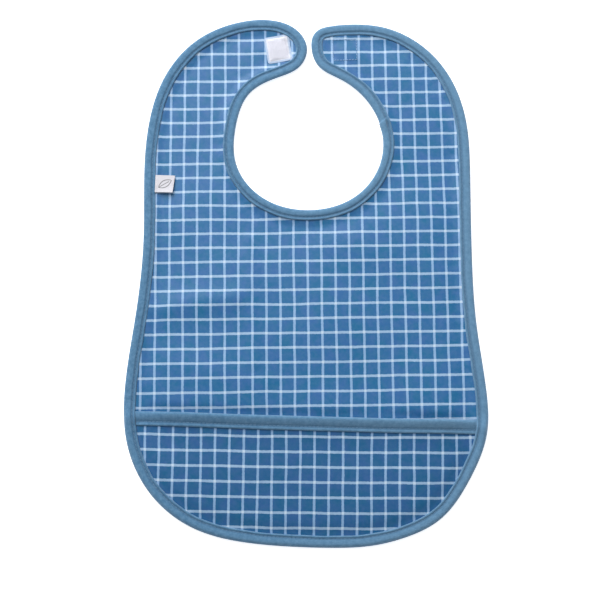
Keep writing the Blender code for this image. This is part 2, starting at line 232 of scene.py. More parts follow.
def smooth_loop(points):
    """Closed curve of continuous curvature through the points, with its directions."""
    knots = np.array(points, dtype=float) * MM
    count = len(knots)
    after = np.roll(knots, -1, axis=0)
    span = np.linalg.norm(after - knots, axis=1)
    slope = (after - knots) / span[:, None]
    matrix = np.zeros((count, count))
    right_side = np.zeros((count, 2))
    for i in range(count):
        matrix[i, i - 1] += 1 / span[i - 1]
        matrix[i, i] += 2 / span[i - 1] + 2 / span[i]
        matrix[i, (i + 1) % count] += 1 / span[i]
        right_side[i] = 3 * (slope[i - 1] / span[i - 1] + slope[i] / span[i])
    tangent = np.linalg.solve(matrix, right_side)
    places, directions = [], []
    for i in range(count):
        j = (i + 1) % count
        start, end = tangent[i] * span[i], tangent[j] * span[i]
        for u in np.arange(SAMPLES_PER_SPAN) / SAMPLES_PER_SPAN:
            places.append((2 * u**3 - 3 * u**2 + 1) * knots[i] + (u**3 - 2 * u**2 + u) * start
                          + (3 * u**2 - 2 * u**3) * knots[j] + (u**3 - u**2) * end)
            directions.append(6 * (u**2 - u) * (knots[i] - knots[j])
                              + (3 * u**2 - 4 * u + 1) * start + (3 * u**2 - 2 * u) * end)
    places = np.array(places)
    directions = np.array(directions)
    return places, directions / np.linalg.norm(directions, axis=1)[:, None]


def nearest(targets, points):
    """Number of the nearest target for each point, in the plane."""
    tree = kdtree.KDTree(len(targets))
    for number, (x, y) in enumerate(targets):
        tree.insert((x, y, 0), number)
    tree.balance()
    return np.array([tree.find((x, y, 0))[1] for x, y in points])


class Edge:
    """The bib's edge, its tape's width and the places of points beside it."""

    def __init__(self):
        places, directions = smooth_loop(OUTLINE_MM)
        places -= (places.min(axis=0) + places.max(axis=0)) / 2
        self.places = places
        self.inward = np.column_stack((-directions[:, 1], directions[:, 0]))
        from_neck = np.linalg.norm(places - NECK_CENTRE, axis=1)
        outside = smoothstep((from_neck - NECK_TAPE_REACH) / NECK_TAPE_BLEND)
        self.tape_width = NECK_TAPE_WIDTH + (TAPE_WIDTH - NECK_TAPE_WIDTH) * outside
        steps = np.linalg.norm(np.roll(places, -1, axis=0) - places, axis=1)
        self.arc = np.concatenate(((0.0,), np.cumsum(steps)))
        self.length = self.arc[-1]

    def sample(self, values, arc):
        """Values along the edge at these arc lengths."""
        looped = np.concatenate((values, values[:1]))
        arc = np.mod(arc, self.length)
        if looped.ndim == 1:
            return np.interp(arc, self.arc, looped)
        return interpolated(arc, self.arc, looped)

    def loop(self, inset, step):
        """Evenly spaced points of the loop that lies inset inside the edge."""
        count = round(self.length / step)
        arc = np.arange(count) * self.length / count
        return self.sample(self.places + self.inward * inset, arc)

    def beside(self, points):
        """Depth inside the edge, arc length and tape width at the points."""
        near = nearest(self.places, points)
        depth = ((points - self.places[near]) * self.inward[near]).sum(axis=1)
        return depth, self.arc[near], self.tape_width[near]


EDGE = Edge()


def ripple(arc, lengths, seed):
    """Smooth closed ripple of unit size along the edge, of waves about as long as given."""
    rng = np.random.default_rng(seed)
    total = np.zeros_like(arc)
    for length in lengths:
        turns = round(EDGE.length / (length * MM))
        total += np.sin(2 * math.pi * (turns * arc / EDGE.length + rng.random()))
    return total / math.sqrt(len(lengths))


def soft_fold(points, start, end, reach):
    """Ridge of unit height between two points that runs out softly beyond them."""
    along = end - start
    length = np.linalg.norm(along)
    along = along / length
    offset = points - start
    forward = offset @ along
    across = offset @ np.array((-along[1], along[0]))
    ends = smoothstep(1 + forward / (2 * reach)) * smoothstep(1 + (length - forward) / (2 * reach))
    return ends / np.cosh(across / reach)


def lie(points, depth):
    """How far the cloth stands off the table: long soft waves, flatter along the edge."""
    rng = np.random.default_rng(11)
    height = np.full(len(points), LIE_HEIGHT)
    for length in LIE_WAVES_MM:
        heading = rng.uniform(0, math.pi)
        along = points @ np.array((math.cos(heading), math.sin(heading)))
        turns = along / (length * MM) + rng.random()
        height += LIE_WAVE_HEIGHT * np.sin(2 * math.pi * turns)
    for start, end, reach, rise in FOLDS:
        fold = soft_fold(points, np.array(start) * MM, np.array(end) * MM, reach * MM)
        height += rise * MM * fold
    inner = smoothstep(depth / LIE_EDGE_REACH)
    from_patch = np.linalg.norm(points - LOOP.middle, axis=1)
    over_patch = LOOP_LIFT * np.exp(-(from_patch / LOOP_LIFT_REACH) ** 2)
    share = LIE_EDGE_SHARE + (1 - LIE_EDGE_SHARE) * inner
    return np.maximum(height, 0.0) * share + over_patch


def puckers(arc, inside, height, lengths, seed):
    """Short waves that the seam pulls into the cloth beside the tape."""
    fade = np.exp(-np.maximum(inside, 0) / PUCKER_REACH) * smoothstep(inside / PUCKER_START)
    return height * ripple(arc, lengths, seed) * fade


def front_height(points):
    """Top of the front panel, which dips under the pocket's mouth."""
    depth, arc, width = EDGE.beside(points)
    inside = depth - width
    sag = SAG_DEPTH * smoothstep(inside / SAG_REACH)
    below_mouth = smoothstep(1 + rim_drop(points) / MOUTH_DIP_ABOVE)
    dip = MOUTH_DIP * below_mouth * smoothstep(inside / MOUTH_DIP_REACH)
    pucker = puckers(arc, inside, *FRONT_PUCKERS)
    return np.maximum(FRONT_TOP_Z - sag - dip + lie(points, depth) + pucker, FRONT_LOWEST)


def rim_line(x):
    """Height on the bib of the pocket's top edge, which turns up a little at both ends."""
    height = RIM_MIDDLE_Y + x * RIM_SLOPE
    for side, start, length in RIM_RISES:
        height = height + RIM_END_RISE * smoothstep((side * x - start) / length)
    return height


def rim_drop(points):
    """How far points lie below the pocket's top edge."""
    return rim_line(points[:, 0]) - points[:, 1]


def pocket_height(points):
    """Top of the pocket panel. Its mouth stands open a little, so it slopes down from the rim."""
    depth, arc, width = EDGE.beside(points)
    inside = depth - width
    drop = np.maximum(rim_drop(points), -1 * MM)
    slack = MOUTH_BULGE * smoothstep(inside / MOUTH_BULGE_REACH) * np.exp(-drop / MOUTH_BULGE_FADE)
    fall = 0.5 * np.exp(-drop / (9.5 * MM)) + 0.9 * np.exp(-(drop / (14 * MM)) ** 2)
    lift = MOUTH_LIFT * smoothstep((inside + 1 * MM) / MOUTH_LIFT_REACH) * fall
    fill = POCKET_FILL * smoothstep(inside / POCKET_FILL_REACH) * smoothstep(drop / POCKET_FILL_START)
    base = FRONT_TOP_Z + lie(points, depth) + POCKET_GAP + COTTON
    return base + fill + slack + lift + puckers(arc, inside, *POCKET_PUCKERS)


# ---- meshes

def inside_depth(boundary, points):
    """Distance inside a closed anticlockwise boundary, from its nearest point."""
    direction = np.roll(boundary, -1, axis=0) - np.roll(boundary, 1, axis=0)
    inward = np.column_stack((-direction[:, 1], direction[:, 0]))
    inward /= np.linalg.norm(inward, axis=1)[:, None]
    near = nearest(boundary, points)
    offset = points - boundary[near]
    distance = np.linalg.norm(offset, axis=1)
    return np.where((offset * inward[near]).sum(axis=1) > 0, distance, -distance)


def far_from(points, line, distance):
    """Which points are at least that far from the points of a line."""
    near = nearest(line, points)
    return np.linalg.norm(points - line[near], axis=1) > distance


def triangulate(boundary, spacing, cuts=()):
    """Even triangles inside a closed boundary, with edges along the cuts."""
    low, high = boundary.min(axis=0), boundary.max(axis=0)
    rows = np.arange(low[1], high[1], spacing * math.sqrt(3) / 2)
    grid = [(x, y) for number, y in enumerate(rows)
            for x in np.arange(low[0] + spacing * (number % 2) / 2, high[0], spacing)]
    grid = np.array(grid)
    grid = grid[inside_depth(boundary, grid) > 0.6 * spacing]
    for cut in cuts:
        grid = grid[far_from(grid, cut, 0.6 * spacing)]
    points = [boundary, *cuts, grid]
    count = len(boundary)
    edges = [(i, (i + 1) % count) for i in range(count)]
    first = count
    for cut in cuts:
        edges += [(first + i, first + i + 1) for i in range(len(cut) - 1)]
        first += len(cut)
    places = [Vector(point) for point in np.vstack(points) / MM]
    found = delaunay_2d_cdt(places, edges, [], 1, 1e-5)
    return np.array([tuple(v) for v in found[0]]) * MM, np.array(found[2])


def vertex_normals(points, triangles):
    """Normals of a surface's points, from the triangles around them."""
    a, b, c = (points[triangles[:, k]] for k in range(3))
    across = np.cross(b - a, c - a)
    normals = np.zeros_like(points)
    for k in range(3):
        np.add.at(normals, triangles[:, k], across)
    return unit(normals)


def placed(name, data):
    """New object of the scene."""
    item = bpy.data.objects.new(name, data)
    bpy.context.collection.objects.link(item)
    return item


def new_mesh(name, points, faces, corner_normals=None, uvs=None):
    """Mesh object from points and faces; normals and uvs are one for each face corner."""
    mesh = bpy.data.meshes.new(name)
    mesh.from_pydata(points.tolist(), [], faces)
    mesh.update()
    mesh.shade_smooth()
    if uvs is not None:
        layer = mesh.uv_layers.new(name="cloth")
        layer.data.foreach_set("uv", np.asarray(uvs, dtype=np.float32).ravel())
    if corner_normals is not None:
        mesh.normals_split_custom_set(np.asarray(corner_normals, dtype=float).tolist())
    return placed(name, mesh)


def dress(item, material, slot, *nodes):
    """Gives a piece its material and hides the CAD nodes that it stands for, if any. The slot is not
    used.
    """
    item.data.materials.append(material)
    if nodes:
        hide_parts(*nodes)


def face_normal(points, face):
    """Newell's normal of a face."""
    corners = points[list(face)]
    after = np.roll(corners, -1, axis=0)
    return unit(np.cross(corners, after).sum(axis=0))


def outline_edges(triangles):
    """Directed edges that only one triangle has."""
    directed = np.vstack((triangles[:, (0, 1)], triangles[:, (1, 2)], triangles[:, (2, 0)]))
    seen = set(map(tuple, directed))
    return [(a, b) for a, b in directed if (b, a) not in seen]


def sheet_piece(name, plane, triangles, top, normals, thickness, uv_of):
    """Closed sheet of one thickness over some triangles of a larger cloth."""
    used, inverse = np.unique(triangles, return_inverse=True)
    triangles = inverse.reshape(triangles.shape)
    plane, top, normals = plane[used], top[used], normals[used]
    count = len(used)
    upper = np.column_stack((plane, top))
    lower = upper - normals * thickness
    points = np.vstack((upper, lower))
    rim = outline_edges(triangles)
    walls = [(b, a, a + count, b + count) for a, b in rim]
    faces = triangles.tolist() + (triangles[:, ::-1] + count).tolist() + walls
    corners = [normals[triangles].reshape(-1, 3), -normals[triangles[:, ::-1]].reshape(-1, 3)]
    corners += [np.repeat(face_normal(points, wall)[None], 4, axis=0) for wall in walls]
    uv = uv_of(np.vstack((plane, plane)))
    order = np.concatenate([np.array(face) for face in faces])
    return new_mesh(name, points, faces, np.vstack(corners), uv[order])


def print_place(coefficients, plane):
    """Grid column and row at places in millimetres."""
    table = np.array(coefficients)
    return plane @ table[:, :2].T + table[:, 2]


def main_print(plane):
    """Grid place on the front panel, whose columns close up a little towards the strap tips."""
    x, y = plane.T / MM
    up = np.clip((y - 60) / 105, 0, 1.2)
    closing = np.where(x < 0, *STRAP_PRINT_CLOSES)
    return print_place(MAIN_PRINT, np.column_stack((x * (1 + closing * up), y)))


def pocket_print(plane):
    """Grid place on the pocket, whose rows sag a little in the middle."""
    x, y = plane.T / MM
    sag = POCKET_PRINT_SAGS * (1 - (x / 90) ** 2)
    return print_place(POCKET_PRINT, np.column_stack((x, y + sag)))


# ---- regions and bending

def ray(azimuth):
    """Direction in the plane at an azimuth in degrees."""
    return np.array((math.cos(math.radians(azimuth)), math.sin(math.radians(azimuth))))


def region_of(points):
    """Which part of the bib each point of the plane belongs to."""
    offset = points - NECK_CENTRE
    angle = np.degrees(np.arctan2(offset[:, 1], offset[:, 0]))
    right = np.where(angle > RIGHT_CUT, 1, 0)
    left = np.where(np.mod(angle, 360) < LEFT_CUT, 3, 2)
    return np.where(offset[:, 0] > 0, right, left)


REGIONS = ("right_front", "right_strap", "left_front", "left_strap")


def bend(item):
    """Applies a piece's transform to its mesh."""
    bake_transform(item)


def cloth_nodes(kind, region):
    """CAD nodes of a cloth layer that a region's piece stands for."""
    parts = (("chest", "shoulder_right"), ("tab_right",), ("shoulder_left",), ("tab_left",))
    return [f"{kind}_{part}" for part in parts[region]]


def cut_lines(spacing):
    """The lines along which the cloth is divided, a little longer than they need to be."""
    lines = []
    for azimuth, reach in CUTS:
        count = round((reach - CUT_START) / spacing)
        along = CUT_START + (reach - CUT_START) * np.arange(count + 1) / count
        lines.append(NECK_CENTRE + along[:, None] * ray(azimuth))
    return lines


def make_cloth(kind, spacing, height_of, thickness, uv_of, finish, slot):
    """The four pieces of the front panel or the lining."""
    boundary = EDGE.loop(CLOTH_INSET, spacing)
    plane, triangles = triangulate(boundary, spacing, cut_lines(spacing))
    top = height_of(plane)
    normals = vertex_normals(np.column_stack((plane, top)), triangles)
    region = region_of(plane[triangles].mean(axis=1))
    for number, name in enumerate(REGIONS):
        chosen = triangles[region == number]
        item = sheet_piece(f"{kind}_{name}", plane, chosen, top, normals, thickness, uv_of)
        bend(item)
        dress(item, finish, slot, *cloth_nodes(kind, number))


# ---- folded tapes

# Half of a folded tape across its width, over the outside to the lip and back inside the fold.
# Insets are in millimetres, from the lip where FROM_LIP is 1 and from the tape's outer edge
# elsewhere. Heights are shares of the half height.
FROM_LIP = (0,) * 7 + (1,) * 14 + (0,) * 2
TAPE_INSETS = (0, 0.1, 0.35, 0.8, 1.4, 2.1, 2.9, -3.7, -3.1, -2.6, -2.2, -1.8, -1.3, -0.8,
               -0.35, -0.1, 0, -0.1, -0.9, -2.2, -3.4, 1.6, 0.75)
RIM_INSETS = (0, 0.1, 0.4, 0.9, 1.6, 2.4, 3.4, -5.4, -4.4, -3.5, -2.9, -2.4, -1.8, -1.2,
              -0.6, -0.15, 0, -0.1, -1.2, -2.9, -4.6, 2.0, 0.75)
TAPE_TOP = (0, 0.28, 0.56, 0.8, 0.92, 0.98, 1, 0.94, 0.82, 0.66, 0.53, 0.6, 0.74, 0.82,
            0.76, 0.62, 0.46, 0.26, 0.2, 0.19, 0.42, 0.42, 0.2)
TAPE_BACK = (0, 0.28, 0.52, 0.76, 0.92, 0.99, 1, 0.98, 0.92, 0.76, 0.68, 0.75, 0.86, 0.9,
             0.84, 0.74, 0.62, 0.5, 0.47, 0.47, 0.6, 0.5, 0.25)
RIM_TOP = (0, 0.3, 0.6, 0.85, 0.98, 1, 0.92, 0.78, 0.58, 0.36, 0.26, 0.34, 0.55, 0.64,
           0.6, 0.48, 0.34, 0.18, 0.13, 0.11, 0.3, 0.35, 0.2)
LIP_POINTS = 6
SEAM_POINT = 10


def tape_rings(path, inward, width, middle, top, back):
    """Rings of a folded tape along a path: stations by profile points by xyz.

    Top and back are each insets, heights and a signed half height for each station. The middle
    is a height for each station or, for a tape on a slope, a function of places.
    """
    rings = []
    for insets, heights, half in (top, back):
        points = list(zip(FROM_LIP, insets, heights))
        if rings:
            points = points[:0:-1]
        for share, further, height in points:
            spot = path + inward * np.reshape(share * width + further * MM, (-1, 1))
            level = middle(spot) if callable(middle) else middle
            rings.append(np.column_stack((spot, level + height * half)))
    return np.stack(rings, axis=1)


def ring_normals(rings, closed):
    """Outward normals of swept rings."""
    if closed:
        along = np.roll(rings, -1, axis=0) - np.roll(rings, 1, axis=0)
    else:
        along = np.gradient(rings, axis=0)
    around = np.roll(rings, -1, axis=1) - np.roll(rings, 1, axis=1)
    return unit(np.cross(along, around))


def swept(name, rings, normals, arc, seam=0):
    """Tube through rings with flat caps; uvs run along it and round it from the seam, in metres."""
    stations, around = rings.shape[:2]
    step = np.linalg.norm(np.roll(rings, -1, axis=1) - rings, axis=2).mean(axis=0)
    girth = np.concatenate(((0.0,), np.cumsum(step)))
    girth -= girth[seam]
    i, k = (values.ravel() for values in np.indices((stations - 1, around)))
    corners = ((i, k), (i + 1, k), (i + 1, k + 1), (i, k + 1))
    quads = np.column_stack([ring * around + point % around for ring, point in corners])
    uv = np.stack([np.column_stack((arc[ring], girth[point])) for ring, point in corners], axis=1)
    points = rings.reshape(-1, 3)
    faces = quads.tolist()
    corner_normals = [normals.reshape(-1, 3)[quads].reshape(-1, 3)]
    last = (stations - 1) * around
    for cap in (list(range(around)), list(range(last, last + around))[::-1]):
        faces.append(cap)
        corner_normals.append(np.repeat(face_normal(points, cap)[None], around, axis=0))
    uvs = (uv.reshape(-1, 2), np.zeros((2 * around, 2)))
    return new_mesh(name, points, faces, np.vstack(corner_normals), np.vstack(uvs))


def bump_at(arc, middle, reach):
    """Soft bump of unit height on the closed edge."""
    away = np.abs(np.mod(arc - middle + EDGE.length / 2, EDGE.length) - EDGE.length / 2)
    return np.exp(-(away / reach) ** 2)


def rim_ends():
    """Arc lengths at which the rim goes under the edge tape, right and then left."""
    middle = EDGE.places + EDGE.inward * EDGE.tape_width[:, None]
    drop = rim_drop(middle) - RIM_WIDTH / 2
    hits = np.nonzero(drop[:-1] * drop[1:] < 0)[0]
    return EDGE.arc[hits]


def lap_start():
    """Arc length at which the lapped end of the tape begins."""
    return EDGE.arc[nearest(EDGE.places, LAP_MIDDLE[None])[0]]


def lap(arc, inset):
    """Share of the lapped end's thickness: a sharp slanted step at its edge, then a slow run-out."""
    along = arc[:, None] - lap_start() + LAP_SLANT * (inset - TAPE_WIDTH / 2)
    return smoothstep(along / (0.5 * MM)) * (1 - smoothstep((along - 1 * MM) / LAP_REACH))


class Binding:
    """The whole folded tape round the edge, before it is divided."""

    def __init__(self):
        even = np.arange(round(EDGE.length / STATION_STEP)) * STATION_STEP
        start = lap_start()
        kept = (np.abs(even - start) > LAP_FINE_REACH) & (even < EDGE.length - STATION_STEP / 2)
        self.arc = np.sort(np.concatenate((even[kept], start + LAP_FINE_STATIONS)))
        self.count = len(self.arc)
        self.path = EDGE.sample(EDGE.places, self.arc)
        self.inward = unit(EDGE.sample(EDGE.inward, self.arc))
        self.width = EDGE.sample(EDGE.tape_width, self.arc)
        self.width = self.width + TAPE_RIPPLE * ripple(self.arc, (23, 31, 47), 3)
        middle = TAPE_MIDDLE_Z + lie(self.path, np.zeros(self.count))
        puffs = 1 + TAPE_PUFF * ripple(self.arc, (6.2, 7.9, 9.3, 12.4, 19.0), 21)
        self.rings = tape_rings(self.path, self.inward, self.width, middle,
                                (TAPE_INSETS, TAPE_TOP, TAPE_HALF_HEIGHT * puffs),
                                (TAPE_INSETS, TAPE_BACK, np.full(self.count, -TAPE_HALF_HEIGHT)))
        top = self.rings[:, :len(TAPE_TOP)]
        inset = np.linalg.norm(top[:, :, :2] - self.path[:, None], axis=2)
        top[:, :, 2] += self.layers()[:, None] * smoothstep(inset / (2.5 * MM))
        lapped = lap(self.arc, inset)
        outside = np.arange(len(TAPE_TOP)) < len(TAPE_TOP) - LIP_POINTS
        top[:, :, 2] += LAP_THICKNESS * lapped * smoothstep(inset / (1 * MM)) * outside
        overhang = LAP_OVERHANG * lapped * outside * (1 - smoothstep(inset / (2 * MM)))
        top[:, :, :2] -= self.inward[:, None] * overhang[:, :, None]
        notch = LAP_NOTCH * bump_at(self.arc, start + 4 * MM, 2.2 * MM)
        top[:, SEAM_POINT - 1:SEAM_POINT + 2, 2] -= notch[:, None]
        self.normals = ring_normals(self.rings, closed=True)

    def layers(self):
        """How far the pocket, its rim and the label lift the tape's upper leg at each station."""
        lip = self.path + self.inward * self.width[:, None]
        over_pocket = smoothstep(0.5 + rim_drop(lip) / (10 * MM))
        over_rim = sum(bump_at(self.arc, end, RIM_BUMP_REACH) for end in rim_ends())
        x, y = self.path.T
        over_label = np.exp(-((y - LABEL_MIDDLE_Y) / (0.62 * LABEL_WIDTH)) ** 4) * (x < LABEL_SEAM_X)
        return ((POCKET_GAP + COTTON) * over_pocket + RIM_UNDER_TAPE * over_rim
                + LABEL_UNDER_TAPE * over_label)

    def runs(self):
        """Region and station numbers of each run between two cuts."""
        region = region_of(self.path)
        starts = [i for i in range(self.count) if region[i] != region[i - 1]]
        found = []
        for start, end in zip(starts, starts[1:] + [starts[0] + self.count]):
            found.append((int(region[start]), np.arange(start, end + 1)))
        return found


RUN_NODES = {
    "right_front_outer": ("chest_outer", "shoulder_right_outer"),
    "right_strap": ("tab_right",),
    "right_front_neck": ("shoulder_right_neck", "chest_neck"),
    "left_front_neck": ("shoulder_left_neck",),
    "left_strap": ("tab_left",),
    "left_front_outer": ("shoulder_left_outer",),
}


def run_name(region, path):
    """A strap has one run, and a front has one at the neck and one outside."""
    name = REGIONS[region]
    if "strap" in name:
        return name
    near_neck = np.linalg.norm(path - NECK_CENTRE, axis=1).mean() < NECK_RUN_REACH
    return f"{name}_neck" if near_neck else f"{name}_outer"


def make_binding(binding, tape, thread):
    """The pieces of the tape round the edge, and the stitches along them."""
    seams = {"needle": SEAM_POINT, "bobbin": binding.rings.shape[1] - SEAM_POINT}
    for region, stations in binding.runs():
        wrapped = stations % binding.count
        name = run_name(region, binding.path[wrapped])
        rings, normals = binding.rings[wrapped], binding.normals[wrapped]
        arc = binding.arc[wrapped] + EDGE.length * (stations >= binding.count)
        item = swept(f"binding_{name}", rings, normals, arc, SEAM_POINT)
        bend(item)
        dress(item, tape, "binding_tape", *[f"binding_{node}" for node in RUN_NODES[name]])
        for side, point in seams.items():
            row = stitch_row(f"{side}_thread_{name}", rings[:, point], normals[:, point])
            bend(row)
            dress(row, thread, "thread", *[f"{side}_thread_{node}" for node in RUN_NODES[name]])


# ---- stitches

# One stitch: place along its pitch, height and thickness in thread radii.
STITCH_SHAPE = ((-0.42, -0.55, 0.35), (-0.34, -0.05, 0.85), (-0.17, 0.35, 1.0), (0.0, 0.45, 1.0),
                (0.17, 0.35, 1.0), (0.34, -0.05, 0.85), (0.42, -0.55, 0.35))
STITCH_SKEW = math.radians(6)


def tubes(name, lines, sides, radii, corners=6):
    """Separate closed tubes along many short flat lines, as one mesh.

    The lines are lines by points by xyz. A line's side is square to all of it.
    """
    count, rings = lines.shape[:2]
    along = unit(np.gradient(lines, axis=1))
    side = np.repeat(sides[:, None], rings, axis=1)
    up = np.cross(side, along)
    turn = 2 * math.pi * np.arange(corners)[:, None] / corners
    spoke = side[:, :, None] * np.cos(turn) + up[:, :, None] * np.sin(turn)
    points = lines[:, :, None] + spoke * np.reshape(radii, (1, -1, 1, 1))
    pattern = []
    for low in range(0, (rings - 1) * corners, corners):
        high = low + corners
        pattern += [(low + k, high + k, high + (k + 1) % corners, low + (k + 1) % corners)
                    for k in range(corners)]
    size = rings * corners
    pattern += [tuple(range(corners)), tuple(range(size - corners, size))[::-1]]
    faces = [[index + line * size for index in face] for line in range(count) for face in pattern]
    return new_mesh(name, points.reshape(-1, 3), faces)


def stitch_row(name, line, normal, pitch=STITCH_PITCH, radius=THREAD_RADIUS):
    """Row of separate stitches on a line of a cloth's surface."""
    steps = arc_lengths(line)
    count = max(1, round(steps[-1] / pitch))
    pitch = steps[-1] / count
    middle = (np.arange(count) + 0.5) * pitch
    ahead = unit(interpolated(middle + pitch / 3, steps, line)
                 - interpolated(middle - pitch / 3, steps, line))
    up = unit(interpolated(middle, steps, normal))
    side = unit(np.cross(up, ahead))
    ahead = ahead * math.cos(STITCH_SKEW) + side * math.sin(STITCH_SKEW)
    side = unit(np.cross(up, ahead))
    base = interpolated(middle, steps, line)
    lines = [base + ahead * (share * pitch) + up * (rise * radius)
             for share, rise, _ in STITCH_SHAPE]
    radii = [size * radius for _, _, size in STITCH_SHAPE]
    return tubes(name, np.stack(lines, axis=1), side, radii)


# ---- pocket

def pocket_boundary(spacing):
    """Closed line of the pocket: tucked under the tape, with its top edge inside the rim."""
    loop = EDGE.loop(POCKET_TUCK, spacing)
    below = rim_drop(loop) > RIM_COVERS
    first = next(i for i in range(len(loop)) if below[i] and not below[i - 1])
    kept = np.roll(loop, -first, axis=0)[:int(below.sum())]
    left_x, right_x = kept[0, 0], kept[-1, 0]
    count = round((right_x - left_x) / spacing)
    x = right_x + (left_x - right_x) * np.arange(1, count) / count
    return np.vstack((kept, np.column_stack((x, rim_line(x) - RIM_COVERS))))


def gape(item):
    """Applies a piece's transform to its mesh; the depths it measures inside the edge are not used.
    """
    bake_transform(item)
    points = np.array([v.co for v in item.data.vertices])
    depth, _, width = EDGE.beside(points[:, :2])


def make_pocket(cotton, tape, thread):
    """The pocket's panel, the tape over its top edge and the stitches along it."""
    plane, triangles = triangulate(pocket_boundary(FRONT_SPACING), FRONT_SPACING)
    top = pocket_height(plane)
    normals = vertex_normals(np.column_stack((plane, top)), triangles)
    item = sheet_piece("pocket_panel_cloth", plane, triangles, top, normals, COTTON, pocket_print)
    gape(item)
    dress(item, cotton, "printed_coated_cotton", "pocket_panel")
    make_rim(tape, thread)


def make_rim(tape, thread):
    """Tape over the pocket's top edge, thinner at its ends, with its stitches."""
    right_x, left_x = np.interp(rim_ends(), EDGE.arc[:-1], EDGE.places[:, 0])
    left_x, right_x = float(left_x) + RIM_END_TUCK, float(right_x) - RIM_END_TUCK
    count = round((right_x - left_x) / STATION_STEP)
    x = left_x + (right_x - left_x) * np.arange(count + 1) / count
    path = np.column_stack((x, rim_line(x)))
    down = np.repeat(np.array(((0.0, -1.0),)), count + 1, axis=0)
    arc = x - left_x
    from_end = np.minimum(arc, right_x - x)
    full = 0.35 + 0.65 * smoothstep((from_end - 2 * MM) / (7 * MM))
    half = full * (1 + TAPE_PUFF * ripple(arc, (8.3, 11.9, 17.3), 31))
    rings = tape_rings(path, down, np.full(count + 1, RIM_WIDTH),
                       lambda spot: pocket_height(spot) - COTTON / 2,
                       (RIM_INSETS, RIM_TOP, RIM_TOP_HEIGHT * half),
                       (TAPE_INSETS, TAPE_BACK, -RIM_BOTTOM_HEIGHT * half))
    rings = rings[:, ::-1]
    normals = ring_normals(rings, closed=False)
    seam = rings.shape[1] - 1 - SEAM_POINT
    item = swept("pocket_rim_binding", rings, normals, arc, seam)
    gape(item)
    dress(item, tape, "binding_tape", "pocket_rim_tape")
    for side, point in (("needle", seam), ("bobbin", SEAM_POINT - 1)):
        row = stitch_row(f"{side}_thread_rim", rings[:, point], normals[:, point])
        gape(row)
        dress(row, thread, "thread", f"{side}_thread_pocket_rim")


# ---- patches and label

def turned(points, middle, turn):
    """Points of a patch's own plane in the plane of the bib."""
    c, s = math.cos(turn), math.sin(turn)
    return middle + points @ np.array(((c, s), (-s, c)))


def rounded_square(size, corner, spacing):
    """Anticlockwise outline of a square with round corners, about its middle."""
    half = size / 2 - corner
    points = []
    for number, (right, up) in enumerate(((1, -1), (1, 1), (-1, 1), (-1, -1))):
        for turn in np.linspace(0, math.pi / 2, 5):
            angle = turn + (number - 1) * math.pi / 2
            points.append((right * half[0] + corner * math.cos(angle),
                           up * half[1] + corner * math.sin(angle)))
    closed = np.array(points + points[:1])
    steps = arc_lengths(closed)
    return interpolated(np.arange(round(steps[-1] / spacing)) * spacing, steps, closed)


def patch_height(points, size, thickness):
    """Woven patch: soft edge, groove under the seam and a full middle."""
    inset = (size / 2 - np.abs(points)).min(axis=1)
    from_seam = inset - PATCH_SEAM_INSET
    edge = 0.45 + 0.55 * smoothstep(inset / (0.9 * MM))
    groove = 0.7 * np.exp(-(from_seam / (0.45 * MM)) ** 2)
    return thickness * (edge - groove + 0.5 * smoothstep(from_seam / (2.4 * MM)))


def make_patch(name, patch, thickness, finish, node):
    """Base of a hook or loop patch."""
    outline = rounded_square(patch.size, PATCH_CORNER, PATCH_SPACING)
    plane, triangles = triangulate(outline, PATCH_SPACING)
    triangles = triangles[:, ::patch.side]
    world = turned(plane, patch.middle, patch.turn)
    level = cloth_level(world, patch.side)
    outer = level + patch.side * patch_height(plane, patch.size, thickness)
    normals = vertex_normals(np.column_stack((world, outer)), triangles)
    item = sheet_piece(name, world, triangles, outer, normals, thickness * 0.3,
                       lambda _: np.vstack((plane, plane)) / MM)
    bend(item)
    dress(item, finish, "hook_and_loop", node)
    return item


def cloth_level(points, side):
    """Surface of the front panel for side 1, or of the lining's back for side -1."""
    if side > 0:
        return front_height(points)
    return front_height(points) - COTTON - LINING_GAP - LINING


def square_stitches(name, patch, side, lift, thread, node):
    """Stitches round a patch, on one side of the cloth."""
    half = patch.size / 2 - PATCH_SEAM_INSET
    corners = np.array(((-1, -1), (1, -1), (1, 1), (-1, 1), (-1, -1))) * half
    line = interpolated(np.linspace(0, 4, 4 * 12 + 1), np.arange(5), corners)
    world = turned(line, patch.middle, patch.turn)
    level = cloth_level(world, side) + side * lift
    up = np.tile((0.0, 0.0, float(side)), (len(world), 1))
    row = stitch_row(name, np.column_stack((world, level)), up, PATCH_STITCH_PITCH,
                     PATCH_THREAD_RADIUS)
    bend(row)
    dress(row, thread, "thread", node)


# A hook and a loop, as places along it and up it in shares of its height.
HOOK_SHAPE = ((0.0, 0.0), (0.02, 0.5), (0.1, 0.85), (0.32, 1.0), (0.52, 0.86), (0.56, 0.62))
LOOP_SHAPE = ((-0.5, 0.0), (-0.46, 0.5), (-0.28, 0.9), (0.0, 1.0), (0.28, 0.9), (0.46, 0.5),
              (0.5, 0.0))

# What a pile is made of: the shape of each of its hooks or loops, their spacing, height and
# thickness, and how much they are out of line.
Pile = namedtuple("Pile", "shape pitch height radius scatter")
HOOKS = Pile(HOOK_SHAPE, 0.9 * MM, 0.55 * MM, 0.11 * MM, 0.25)
LOOPS = Pile(LOOP_SHAPE, 0.8 * MM, 0.5 * MM, 0.06 * MM, 0.4)
PILE_MARGIN = 1.0 * MM


